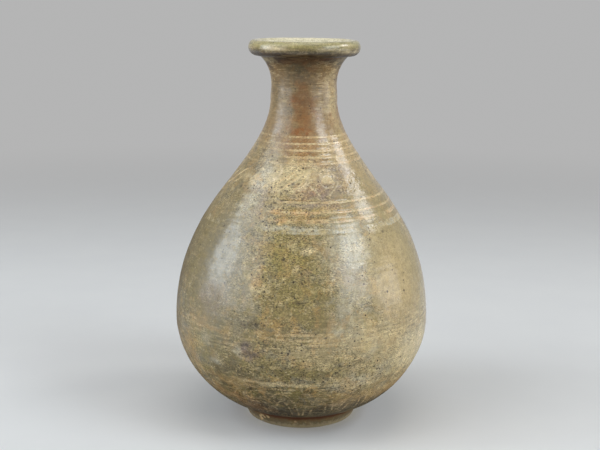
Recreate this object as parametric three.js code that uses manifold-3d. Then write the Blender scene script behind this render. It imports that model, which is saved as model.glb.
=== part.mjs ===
// A buncheong bottle: a pear-shaped stoneware body thrown in two bowls, with a thrown neck and a foot
// ring luted on, and white slip laid into cut lines, flowers, leaves and lotus petals.
// Millimetres, +Z up, with the origin at the middle of the rim that the bottle stands on.
import * as THREE from "three";
import { mergeVertices } from "three/addons/utils/BufferGeometryUtils.js";
import Module from "manifold-3d";

const wasm = await Module();
wasm.setup();

// Heights, stacked from the foot's rim to the top of the lip
const footHeight = 10.4;
const bellyRise = 66.1;
const shoulderRise = 103.5;
const waistRise = 58;
const flareRise = 31.4;
const lipHeight = 11.3;
const lipDrop = 0.7;

// Outer radii at those heights
const footRimRadius = 40.5;
const footSeatRadius = 45.5;
const bellyRadius = 94;
const shoulderRadius = 53.2;
const waistRadius = 24.2;
const flareRadius = 32.5;
const lipRadius = 40.4;

// The outline's slopes, and how far each slope holds before the outline turns
const footSlope = THREE.MathUtils.degToRad(20.6);
const shoulderSlope = THREE.MathUtils.degToRad(126.2);
const flareSlope = THREE.MathUtils.degToRad(45);
const footSpring = 31;
const bellyFullnessBelow = 26.5;
const bellyFullnessAbove = 56;
const shoulderFullnessBelow = 18.3;
const shoulderFullnessAbove = 24.4;
const waistHollowBelow = 19;
const waistHollowAbove = 8.5;
const flareSpring = 16.5;

// Walls
const footWall = 8.5;
const bellyWall = 6.5;
const neckWall = 5;
const floorThickness = 8;
const lipRollWidth = 8.4;
const lipRollEnd = THREE.MathUtils.degToRad(147);

// Foot ring
const footRimWidth = 5.5;
const footInnerTaper = 1.5;
const footRimBevel = 1;
const recessDome = 1.5;

// Luted joints, measured along the outline
const bellyJointAboveBelly = 24;
const neckJointAboveShoulder = 46;

// White slip lines cut round the bottle, measured along the outline
const lineWidth = 1.7;
const lineDepth = 1.1;
const bandDepth = 1.1;
const neckLines = { count: 5, belowNeckJoint: 5.5, spacing: 5.1 };
const shoulderLines = { count: 2, belowShoulder: 9.5, spacing: 7.7 };
const upperBand = { belowShoulder: 23.7, width: 3.2 };
const lowerBand = { belowShoulder: 31, width: 4.4 };
const bellyLines = { count: 2, aboveBelly: 8.6, spacing: 3.5 };
const lowerLines = { count: 2, belowBelly: 25.6, spacing: 5 };

// Cut and inlaid ornament
const inlayDepth = 1;
const slipClearance = 0.12;
const strokeWidth = 1.5;
const flowerCount = 6;
const flowerRadius = 5.4;
const flowerLobes = 8;
const lobeDepth = 0.7;
const flowerBearing = THREE.MathUtils.degToRad(-70);
const ornamentAboveShoulder = 5.3;
const vineLength = 27;
const vineSwing = 8;
const leafLength = 8;
const leafRise = 6;
const leafBeside = 9;
const leafBelow = 1;
const petalCount = 18;
const petalBase = 16;
const petalTipGap = 4.3;
const petalSpacing = 2.5;

// Fineness of the facets
const segments = 32;
const stationSpacing = 12;
const stationClearance = 1.6;
const innerCoarseness = 1.5;
const lipSteps = 8;
const vineSteps = 6;
const leafSteps = 3;
const petalSteps = 8;
const pointsPerLobe = 2;
const cutOvershoot = 1.5;
const weldDistance = 1e-4;

const clay = { color: 0x8f7d5e, roughness: 0.7 };
const glazedClay = { color: 0x8f7d5e, roughness: 0.35 };
const slip = { color: 0xd8d0b4, roughness: 0.4 };

// The bottle's outline, from the foot's seat to the underside of the lip
const seatPoint = new THREE.Vector2(footSeatRadius, footHeight);
const bellyPoint = new THREE.Vector2(bellyRadius, seatPoint.y + bellyRise);
const shoulderPoint = new THREE.Vector2(shoulderRadius, bellyPoint.y + shoulderRise);
const waistPoint = new THREE.Vector2(waistRadius, shoulderPoint.y + waistRise);
const flarePoint = new THREE.Vector2(flareRadius, waistPoint.y + flareRise);
const lipTop = flarePoint.y - lipDrop + lipHeight;

function stretch(start, startSlope, startReach, end, endSlope, endReach) {
  const leave = new THREE.Vector2(Math.cos(startSlope), Math.sin(startSlope)).multiplyScalar(startReach);
  const arrive = new THREE.Vector2(Math.cos(endSlope), Math.sin(endSlope)).multiplyScalar(endReach);
  return new THREE.CubicBezierCurve(start, leave.add(start), arrive.negate().add(end), end);
}

const upright = Math.PI / 2;
const outline = new THREE.CurvePath();
outline.curves = [
  stretch(seatPoint, footSlope, footSpring, bellyPoint, upright, bellyFullnessBelow),
  stretch(bellyPoint, upright, bellyFullnessAbove, shoulderPoint, shoulderSlope, shoulderFullnessBelow),
  stretch(shoulderPoint, shoulderSlope, shoulderFullnessAbove, waistPoint, upright, waistHollowBelow),
  stretch(waistPoint, upright, waistHollowAbove, flarePoint, flareSlope, flareSpring),
];

const [bellyAt, shoulderAt, , flareAt] = outline.getCurveLengths();
const bellyJointAt = bellyAt + bellyJointAboveBelly;
const neckJointAt = shoulderAt + neckJointAboveShoulder;

// A point of the wall: the distance along the outline, and the depth under its outer skin
function skin(along, depth = 0) {
  const share = THREE.MathUtils.clamp(along / flareAt, 0, 1);
  const point = outline.getPoint(share);
  const tangent = outline.getTangent(share);
  return new THREE.Vector2(point.x - tangent.y * depth, point.y + tangent.x * depth);
}

function wallAt(along) {
  const lower = THREE.MathUtils.smoothstep(along, 0, bellyAt);
  const upper = THREE.MathUtils.smoothstep(along, bellyAt, neckJointAt);
  return THREE.MathUtils.lerp(THREE.MathUtils.lerp(footWall, bellyWall, lower), neckWall, upper);
}

// Grooves that hold the slip lines: a narrow one is a V, and a band has a flat floor
function groove(name, at, width, depth) {
  const flat = width > 2 * depth ? width / 2 - depth : 0;
  return { name, at, width, depth, flat };
}

function linesOf(name, { count, spacing }, first, direction) {
  return Array.from({ length: count }, (unused, i) => {
    return groove(`${name}_${i + 1}`, first + direction * i * spacing, lineWidth, lineDepth);
  });
}

const neckGrooves = linesOf("neck_line", neckLines, neckJointAt - neckLines.belowNeckJoint, -1);
const shoulderGrooves = [
  ...linesOf("shoulder_line", shoulderLines, shoulderAt - shoulderLines.belowShoulder, -1),
  groove("shoulder_band_upper", shoulderAt - upperBand.belowShoulder, upperBand.width, bandDepth),
  groove("shoulder_band_lower", shoulderAt - lowerBand.belowShoulder, lowerBand.width, bandDepth),
];
const bellyGrooves = linesOf("belly_line", bellyLines, bellyAt + bellyLines.aboveBelly, 1);
const lowerGrooves = linesOf("lower_line", lowerLines, bellyAt - lowerLines.belowBelly, -1);

function grooveSection({ at, width, depth, flat }, clearance) {
  const half = width / 2 - clearance;
  const floor = depth - clearance;
  const keel = flat ? [at - flat + clearance, at + flat - clearance] : [at];
  return { edges: [skin(at - half), skin(at + half)], middle: keel.map((along) => skin(along, floor)) };
}

// The outer side of a thrown piece from one place on the outline to another, with its grooves
function outerRun(from, to, grooves) {
  const count = Math.round((to - from) / stationSpacing);
  const stations = Array.from({ length: count + 1 }, (unused, i) => from + ((to - from) * i) / count);
  const kept = stations.filter((at, i) => {
    const isEnd = i === 0 || i === count;
    return isEnd || grooves.every((cut) => Math.abs(at - cut.at) > cut.width / 2 + stationClearance);
  });
  const runs = kept.map((at) => ({ at, points: [skin(at)] }));
  for (const cut of grooves) {
    const { edges, middle } = grooveSection(cut, 0);
    runs.push({ at: cut.at, points: [edges[0], ...middle, edges[1]] });
  }
  runs.sort((a, b) => a.at - b.at);
  return runs.flatMap(({ points }) => points);
}

function innerRun(from, to) {
  const count = Math.round(Math.abs(to - from) / stationSpacing / innerCoarseness);
  return Array.from({ length: count + 1 }, (unused, i) => {
    const at = from + ((to - from) * i) / count;
    return skin(at, wallAt(at));
  });
}

// Geometry with only merged positions and no collapsed triangles
function weld(geometry) {
  geometry.deleteAttribute("normal");
  geometry.deleteAttribute("uv");
  const merged = mergeVertices(geometry, weldDistance);
  const index = merged.index.array;
  const kept = [];
  for (let i = 0; i < index.length; i += 3) {
    const [a, b, c] = index.slice(i, i + 3);
    if (a !== b && b !== c && c !== a) kept.push(a, b, c);
  }
  merged.setIndex(kept);
  return merged;
}

function revolve(points) {
  const geometry = new THREE.LatheGeometry(points, segments);
  geometry.rotateX(Math.PI / 2);
  return weld(geometry);
}

function solidOf(geometry) {
  const vertProperties = new Float32Array(geometry.attributes.position.array);
  const triVerts = new Uint32Array(geometry.index.array);
  return new wasm.Manifold(new wasm.Mesh({ numProp: 3, vertProperties, triVerts }));
}

function geometryOf(solid) {
  const { vertProperties, triVerts } = solid.getMesh();
  const geometry = new THREE.BufferGeometry();
  geometry.setAttribute("position", new THREE.BufferAttribute(vertProperties, 3));
  geometry.setIndex(new THREE.BufferAttribute(triVerts, 1));
  return geometry;
}

// A point in space on the skin, from its bearing round the bottle
function onSkin(bearing, along, depth) {
  const { x: radius, y: height } = skin(along, depth);
  return [radius * Math.cos(bearing), radius * Math.sin(bearing), height];
}

function surfaceGeometry(points, index) {
  const geometry = new THREE.BufferGeometry();
  geometry.setAttribute("position", new THREE.Float32BufferAttribute(points.flat(), 3));
  geometry.setIndex(index);
  return geometry;
}

// A V-shaped strip of slip along a path of [sideways, along] points. Grow widens and deepens it,
// and reach carries its sides on past the skin.
function strip({ bearing, path, grow, reach }) {
  const keel = inlayDepth + grow;
  const half = (strokeWidth / 2 + grow) * (1 + reach / keel);
  const points = [];
  path.forEach(([x, along], i) => {
    const [beforeX, before] = path[Math.max(i - 1, 0)];
    const [afterX, after] = path[Math.min(i + 1, path.length - 1)];
    const sideways = new THREE.Vector2(before - after, afterX - beforeX).setLength(half);
    for (const side of [-1, 1]) {
      const edge = along + side * sideways.y;
      const turn = (x + side * sideways.x) / skin(edge).x;
      points.push(onSkin(bearing + turn, edge, -reach));
    }
    points.push(onSkin(bearing + x / skin(along).x, along, keel));
  });
  const index = [];
  const quad = (a, b, c, d) => index.push(a, b, c, a, c, d);
  for (let i = 0; i + 1 < path.length; i++) {
    const [right, left, floor] = [3 * i, 3 * i + 1, 3 * i + 2];
    quad(right, right + 3, left + 3, left);
    quad(left, left + 3, floor + 3, floor);
    quad(floor, floor + 3, right + 3, right);
  }
  const last = 3 * (path.length - 1);
  index.push(0, 1, 2, last, last + 2, last + 1);
  return surfaceGeometry(points, index);
}

// A flat figure of slip inside an outline of [sideways, along] points round its middle
function plate({ bearing, middle, rim, grow, reach }) {
  const [top, floor] = [-reach, inlayDepth + grow];
  const points = [onSkin(bearing, middle, top), onSkin(bearing, middle, floor)];
  for (const [x, along] of rim) {
    const turn = x / skin(along).x;
    points.push(onSkin(bearing + turn, along, top), onSkin(bearing + turn, along, floor));
  }
  const index = [];
  rim.forEach((unused, i) => {
    const here = 2 + 2 * i;
    const next = 2 + 2 * ((i + 1) % rim.length);
    index.push(0, here, next, 1, next + 1, here + 1);
    index.push(here, here + 1, next + 1, here, next + 1, next);
  });
  return surfaceGeometry(points, index);
}

function flowerRim(middle, grow) {
  const steps = flowerLobes * pointsPerLobe;
  return Array.from({ length: steps }, (unused, i) => {
    const turn = (2 * Math.PI * i) / steps;
    const radius = flowerRadius + grow - (lobeDepth * (1 - Math.cos(flowerLobes * turn))) / 2;
    return [radius * Math.cos(turn), middle + radius * Math.sin(turn)];
  });
}

// A vine climbs in an S from the foot of one flower to the head of the next
function vinePath(middle) {
  return Array.from({ length: vineSteps + 1 }, (unused, i) => {
    const share = i / vineSteps;
    return [vineLength * (share - 0.5), middle - vineSwing * Math.cos(Math.PI * share)];
  });
}

// A leaf curls off each side of the vine; side is 1 above it and -1 below
function leafPath(middle, side) {
  return Array.from({ length: leafSteps + 1 }, (unused, i) => {
    const share = i / leafSteps;
    const curl = leafRise * Math.sin(upright * share) - leafBelow;
    return [side * (leafLength * share - leafBeside), middle + side * curl];
  });
}

// A petal arches from its base up to just under the lowest line
function petalPath(halfTurn) {
  const tip = lowerGrooves.at(-1).at - petalTipGap;
  return Array.from({ length: petalSteps + 1 }, (unused, i) => {
    const across = (Math.PI * i) / petalSteps;
    const along = THREE.MathUtils.lerp(petalBase, tip, Math.sin(across));
    return [halfTurn * Math.cos(across) * skin(along).x, along];
  });
}

// Each ornament as its inlay and the cut that holds it
function inlaid(build) {
  return {
    inlay: build(0, 0),
    cut: build(slipClearance, cutOvershoot),
  };
}

const ornamentAt = shoulderAt + ornamentAboveShoulder;

function flowers() {
  return Array.from({ length: flowerCount }, (unused, i) => {
    const bearing = flowerBearing + (2 * Math.PI * i) / flowerCount;
    const build = (grow, reach) => {
      return plate({ bearing, middle: ornamentAt, rim: flowerRim(ornamentAt, grow), grow, reach });
    };
    return { name: `flower_${i + 1}`, ...inlaid(build) };
  });
}

function scrolls() {
  return Array.from({ length: flowerCount }, (unused, i) => {
    const bearing = flowerBearing + (2 * Math.PI * (i + 0.5)) / flowerCount;
    const stroke = (name, path) => {
      return { name, ...inlaid((grow, reach) => strip({ bearing, path, grow, reach })) };
    };
    return [
      stroke(`vine_${i + 1}`, vinePath(ornamentAt)),
      stroke(`leaf_above_vine_${i + 1}`, leafPath(ornamentAt, 1)),
      stroke(`leaf_below_vine_${i + 1}`, leafPath(ornamentAt, -1)),
    ];
  }).flat();
}

function petals() {
  const pitch = (2 * Math.PI) / petalCount;
  const halfTurn = (pitch - petalSpacing / skin(petalBase).x) / 2;
  return Array.from({ length: petalCount }, (unused, i) => {
    const bearing = i * pitch;
    const path = petalPath(halfTurn);
    const build = (grow, reach) => strip({ bearing, path, grow, reach });
    return { name: `lotus_petal_${i + 1}`, ...inlaid(build) };
  });
}

function cutFrom(geometry, ornaments) {
  const cuts = ornaments.map(({ cut }) => solidOf(cut));
  return geometryOf(cuts.reduce((body, cut) => body.subtract(cut), solidOf(geometry)));
}

const footInnerRadius = footRimRadius - footRimBevel - footRimWidth;

function lowerBody(ornaments) {
  const underside = [
    new THREE.Vector2(0, footHeight + recessDome),
    new THREE.Vector2(footInnerRadius - footInnerTaper, footHeight),
  ];
  const floor = new THREE.Vector2(0, footHeight + floorThickness);
  const outside = outerRun(0, bellyJointAt, [...lowerGrooves, ...bellyGrooves]);
  return cutFrom(revolve([...underside, ...outside, ...innerRun(bellyJointAt, 0), floor]), ornaments);
}

function upperBody(ornaments) {
  const outside = outerRun(bellyJointAt, neckJointAt, [...shoulderGrooves, ...neckGrooves]);
  const inside = innerRun(neckJointAt, bellyJointAt);
  return cutFrom(revolve([...outside, ...inside, outside[0]]), ornaments);
}

function neckAndLip() {
  const outside = outerRun(neckJointAt, flareAt, []);
  const inside = innerRun(flareAt, neckJointAt);
  const middle = new THREE.Vector2(lipRadius - lipRollWidth / 2, lipTop - lipHeight / 2);
  const roll = Array.from({ length: lipSteps + 1 }, (unused, i) => {
    const turn = THREE.MathUtils.lerp(-upright, lipRollEnd, i / lipSteps);
    return new THREE.Vector2(
      middle.x + (lipRollWidth / 2) * Math.cos(turn),
      middle.y + (lipHeight / 2) * Math.sin(turn),
    );
  });
  return revolve([...outside, ...roll, ...inside, outside[0]]);
}

function footRing() {
  const section = [
    [footInnerRadius, 0],
    [footRimRadius - footRimBevel, 0],
    [footRimRadius, footRimBevel],
    [footSeatRadius, footHeight],
    [footInnerRadius - footInnerTaper, footHeight],
    [footInnerRadius, 0],
  ];
  return revolve(section.map(([radius, height]) => new THREE.Vector2(radius, height)));
}

function slipLine(cut) {
  const { edges, middle } = grooveSection(cut, slipClearance);
  return revolve([...edges, ...middle.reverse(), edges[0]]);
}

const bottle = new THREE.Group();

function addPiece(name, geometry, finish) {
  const mesh = new THREE.Mesh(geometry, new THREE.MeshStandardMaterial({ ...finish, metalness: 0 }));
  mesh.name = name;
  bottle.add(mesh);
}

const shoulderOrnaments = [...flowers(), ...scrolls()];
const footOrnaments = petals();

addPiece("foot_ring", footRing(), clay);
addPiece("lower_body", lowerBody(footOrnaments), glazedClay);
addPiece("upper_body", upperBody(shoulderOrnaments), glazedClay);
addPiece("neck_and_lip", neckAndLip(), glazedClay);
for (const cut of [...neckGrooves, ...shoulderGrooves, ...bellyGrooves, ...lowerGrooves]) {
  addPiece(cut.name, slipLine(cut), slip);
}
for (const { name, inlay } of [...shoulderOrnaments, ...footOrnaments]) {
  addPiece(name, inlay, slip);
}

export default bottle;
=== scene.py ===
"""A buncheong sake bottle: thrown stoneware under a worn olive-tan glaze, inlaid with white slip."""
import math

import bpy
import numpy as np
from mathutils import Matrix, Vector


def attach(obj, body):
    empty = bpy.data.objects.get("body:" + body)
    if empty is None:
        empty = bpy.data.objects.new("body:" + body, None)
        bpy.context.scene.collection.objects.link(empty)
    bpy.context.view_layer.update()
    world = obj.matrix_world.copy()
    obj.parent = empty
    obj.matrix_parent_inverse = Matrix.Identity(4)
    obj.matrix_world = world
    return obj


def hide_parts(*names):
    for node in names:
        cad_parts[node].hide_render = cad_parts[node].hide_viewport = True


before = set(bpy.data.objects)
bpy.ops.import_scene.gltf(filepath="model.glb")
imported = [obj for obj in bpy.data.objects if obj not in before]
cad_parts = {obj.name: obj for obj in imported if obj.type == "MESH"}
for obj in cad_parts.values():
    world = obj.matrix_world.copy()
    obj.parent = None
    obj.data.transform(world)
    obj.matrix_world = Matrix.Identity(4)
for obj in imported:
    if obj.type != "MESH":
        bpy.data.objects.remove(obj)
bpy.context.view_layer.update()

MM = 0.001

# The thrown outline, in millimetres
FOOT_HEIGHT = 10.4
BELLY_HEIGHT = FOOT_HEIGHT + 66.1
SHOULDER_HEIGHT = BELLY_HEIGHT + 103.5
WAIST_HEIGHT = SHOULDER_HEIGHT + 58
FLARE_HEIGHT = WAIST_HEIGHT + 31.4
LIP_HEIGHT = 11.3
LIP_OVERLAP = 0.7
LIP_TOP = FLARE_HEIGHT - LIP_OVERLAP + LIP_HEIGHT
FOOT_SEAT = 45.5
FOOT_RIM = 40.5
FOOT_INNER = 34.0
BELLY = 94.0
SHOULDER = 53.2
WAIST = 24.2
FLARE = 32.5
LIP = 40.4
LIP_ROLL = 8.4
LIP_ROLL_END = math.radians(147)
LIP_UNDERCUT = 1.4
FOOT_WALL = 8.5
BELLY_WALL = 6.5
NECK_WALL = 5.0
FLOOR_THICKNESS = 8.0
RECESS_DOME = 1.5

UPRIGHT = math.pi / 2
TURN = 2 * math.pi
FOOT_SLOPE = math.radians(20.6)
SHOULDER_SLOPE = math.radians(126.2)
FLARE_SLOPE = math.radians(45)

# Knots of the outline as radius, height and slope, and the reach of the two handles of each run between them
KNOTS = [
    (FOOT_SEAT, FOOT_HEIGHT, FOOT_SLOPE),
    (BELLY, BELLY_HEIGHT, UPRIGHT),
    (SHOULDER, SHOULDER_HEIGHT, SHOULDER_SLOPE),
    (WAIST, WAIST_HEIGHT, UPRIGHT),
    (FLARE, FLARE_HEIGHT, FLARE_SLOPE),
]
HANDLES = [(31, 26.5), (56, 18.3), (24.4, 19), (8.5, 16.5)]
RUN_POINTS = 600

# The skins' mesh: corners round the axis, and millimetres between rows
SEGMENTS = 560
STEP = 0.9
BEARINGS = np.arange(SEGMENTS) * 2 * math.pi / SEGMENTS - math.pi


def stretch(start, end, start_reach, end_reach):
    """One run of the outline as dense points, between two knots."""
    (*start, start_slope), (*end, end_slope) = start, end
    start, end = np.array(start), np.array(end)
    leave = start + start_reach * np.array([math.cos(start_slope), math.sin(start_slope)])
    arrive = end - end_reach * np.array([math.cos(end_slope), math.sin(end_slope)])
    t = np.linspace(0, 1, RUN_POINTS)[:, None]
    return (1 - t) ** 3 * start + 3 * (1 - t) ** 2 * t * leave + 3 * (1 - t) * t**2 * arrive + t**3 * end


RUNS = [stretch(*KNOTS[i : i + 2], *HANDLES[i]) for i in range(len(HANDLES))]
OUTLINE = np.vstack([RUNS[0]] + [run[1:] for run in RUNS[1:]])
REACH = np.r_[0, np.cumsum(np.hypot(*np.diff(OUTLINE, axis=0).T))]
TANGENT = np.gradient(OUTLINE, REACH, axis=0)
TANGENT /= np.linalg.norm(TANGENT, axis=1)[:, None]
BELLY_AT, SHOULDER_AT, _, FLARE_AT = REACH[np.cumsum([len(run) - 1 for run in RUNS])]
BELLY_JOINT_AT = BELLY_AT + 24
NECK_JOINT_AT = SHOULDER_AT + 46


def skin(along, depth=0.0):
    """Radius and height of a place on the wall, and its outward normal in that plane."""
    along = np.clip(along, 0, FLARE_AT)
    r, z = (np.interp(along, REACH, OUTLINE[:, k]) for k in (0, 1))
    tr, tz = (np.interp(along, REACH, TANGENT[:, k]) for k in (0, 1))
    return r - tz * depth, z + tr * depth, tz, -tr


def smooth(x, low, high):
    """0 up to the one value and 1 from the other on, with a soft step between."""
    t = np.clip((x - low) / (high - low), 0, 1)
    return t * t * (3 - 2 * t)


def fade(turn, none, full):
    """A soft step between two bearings in degrees."""
    return smooth(turn, math.radians(none), math.radians(full))


def wrap(turn):
    """An angle brought to between half a turn left and half a turn right."""
    return (turn + math.pi) % TURN - math.pi


def wall_at(along):
    """The wall's thickness."""
    lower = smooth(along, 0, BELLY_AT)
    upper = smooth(along, BELLY_AT, NECK_JOINT_AT)
    wall = FOOT_WALL + (BELLY_WALL - FOOT_WALL) * lower
    return wall + (NECK_WALL - wall) * upper


CELLS = 40
TABLE = np.random.default_rng(1592).uniform(-1, 1, (CELLS, CELLS, CELLS))


def noise(points, size, seed=0.0):
    """Smooth noise from -1 to 1 from the fixed table, with lumps of that size."""
    q = np.asarray(points, float) / size + np.array([3.1, 17.7, 9.4]) + seed * np.array([1.7, 2.9, 4.3])
    cell = np.floor(q).astype(int)
    f = q - cell
    f = f * f * (3 - 2 * f)
    total = 0.0
    for dx in (0, 1):
        for dy in (0, 1):
            for dz in (0, 1):
                w = np.abs(1 - dx - f[..., 0]) * np.abs(1 - dy - f[..., 1]) * np.abs(1 - dz - f[..., 2])
                i, j, k = ((cell[..., n] + d) % CELLS for n, d in enumerate((dx, dy, dz)))
                total = total + w * TABLE[i, j, k]
    return total


def around(bearing, r, z):
    """Points in space, with bearing 0 at the front and turning to the right."""
    return np.stack([r * np.sin(bearing), -r * np.cos(bearing), z + 0 * bearing], -1)


# Slip lines and bands: place along the outline, width
LINE_WIDTH = 1.7
LINES = {}
for label, first, pitch, count in (
    ("neck_line", NECK_JOINT_AT - 5.5, -5.1, 5),
    ("shoulder_line", SHOULDER_AT - 9.5, -7.7, 2),
    ("belly_line", BELLY_AT + 8.6, 3.5, 2),
    ("lower_line", BELLY_AT - 25.6, -5, 2),
):
    for i in range(count):
        LINES[f"{label}_{i + 1}"] = (first + pitch * i, LINE_WIDTH)
LINES["shoulder_band_upper"] = (SHOULDER_AT - 23.7, 3.2)
LINES["shoulder_band_lower"] = (SHOULDER_AT - 31, 4.4)


def line_course(name, bearing):
    """Where a slip line runs, and its half width, at each bearing."""
    at, width = LINES[name]
    ring = np.stack([np.cos(bearing), np.sin(bearing), 0 * bearing + at], -1)
    drift = 0.28 * noise(ring, 0.9, 3) + 0.1 * noise(ring, 0.13, 5)
    half = width / 2 * (1 + 0.16 * noise(ring, 0.5, 7) + 0.1 * noise(ring, 0.06, 9))
    return at + drift, half


# How far each kind of slip is worn and stained, and how much further on the left of the front
WEAR = {
    "neck_line": (0.3, 0.35), "shoulder_line": (0.35, 0.5), "shoulder_band": (0.45, 0.45), "belly_line": (0.7, 0.1),
    "lower_line": (0.74, 0.1), "flower": (0.3, 0.3), "vine": (0.2, 0.25), "leaf": (0.25, 0.25),
    "lotus_petal": (0.66, 0.2),
}


def worn_flat(bearing):
    """How much of a line's cut is left, least to the left and right of the front."""
    turn = wrap(bearing)
    left = fade(turn, -110, -75) * fade(turn, -16, -28)
    right = fade(turn, 26, 36) * fade(turn, 70, 58)
    return 1 - 0.6 * np.maximum(left, right)


def wear_of(name, bearing, points):
    """How far a piece of slip is worn away at each place, from 0 to 1."""
    kind = next(kind for kind in WEAR if name.startswith(kind))
    base, left = WEAR[kind]
    turn = wrap(bearing)
    hazy = fade(turn, -115, -75) * fade(turn, -8, -26)
    back = fade(np.abs(turn), 70, 110)
    base = base + 0.35 * back * noise(points, 30, 71)
    if kind == "flower":
        below = smooth(skin(ORNAMENT_AT)[1] + 1 - points[..., 2], 0, 3)
        base = base + 0.7 * below * fade(np.abs(turn), 45, 30)
    if kind in ("vine", "leaf"):
        base = base + 0.45 * fade(turn, 24, 34) * fade(turn, 84, 74)
    return np.clip(base + left * hazy + 0.25 * noise(points, 11, 73), 0, 1)


# Strokes of the shoulder's scroll and of the petals, as (sideways, along) points in millimetres
STROKE = 1.5
FLOWERS = 6
FLOWER_BEARING = math.radians(20)
FLOWER_RADIUS = 5.4
FLOWER_NOTCH = 0.7
LOBES = 8
ORNAMENT_AT = SHOULDER_AT + 5.3
VINE_SPAN = 27
VINE_RISE = 8
PETALS = 18
PETAL_GAP = 2.5
PETAL_BASE = 16.0
PETAL_TIP = LINES["lower_line_2"][0] - 4.3

# How slip lies in its cut: depth of the cut's edge, of the slip's edge, its crown, and how far each kind reaches in
GROOVE = 0.13
SUNK = 0.12
CROWN = 0.07
FLOWER_SUNK = 0.05
LINE_DEPTH = 0.75
STROKE_DEPTH = 0.6
FLOWER_DEPTH = 0.7


def vine_path():
    share = np.linspace(0, 1, 40)
    return np.stack([VINE_SPAN * (share - 0.5), ORNAMENT_AT - VINE_RISE * np.cos(math.pi * share)], -1)


def leaf_path(side):
    """The short curl over (1) or under (-1) a vine."""
    share = np.linspace(0, 1, 20)
    curl = 6 * np.sin(UPRIGHT * share) - 1
    return np.stack([side * (8 * share - 9), ORNAMENT_AT + side * curl], -1)


def petal_path(scale=1.0, base=PETAL_BASE, tip=PETAL_TIP):
    """A petal's arch, or the smaller one inside it."""
    half = (TURN / PETALS - PETAL_GAP / skin(PETAL_BASE)[0]) / 2 * scale
    across = np.linspace(0, math.pi, 60)
    along = base + (tip - base) * np.sin(across)
    return np.stack([half * np.cos(across) * skin(along)[0], along], -1)


def turned(path, bearing):
    """A path's bearings and places along the outline."""
    return bearing + path[:, 0] / skin(path[:, 1])[0], path[:, 1]


STROKES = {}
for i in range(FLOWERS):
    middle = FLOWER_BEARING + TURN * (i + 0.5) / FLOWERS
    STROKES[f"vine_{i + 1}"] = (middle, [vine_path()])
    STROKES[f"leaf_above_vine_{i + 1}"] = (middle, [leaf_path(1)])
    STROKES[f"leaf_below_vine_{i + 1}"] = (middle, [leaf_path(-1)])
for i in range(PETALS):
    STROKES[f"lotus_petal_{i + 1}"] = (
        UPRIGHT + TURN * i / PETALS,
        [petal_path(), petal_path(0.52, PETAL_BASE + 3, PETAL_TIP - 9)],
    )


def gap_to_path(bearing, along, radius, course):
    """Distance in millimetres from places on the skin to a path of bearings and places along."""
    px, py = course
    turn = wrap(bearing - px[0]) + px[0]
    best = np.full(along.shape, 1e3)
    for k in range(len(px) - 1):
        ax, ay = (turn - px[k]) * radius, along - py[k]
        bx, by = (px[k + 1] - px[k]) * radius, py[k + 1] - py[k]
        t = np.clip((ax * bx + ay * by) / (bx * bx + by * by + 1e-9), 0, 1)
        best = np.minimum(best, np.hypot(ax - t * bx, ay - t * by))
    return best


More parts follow.
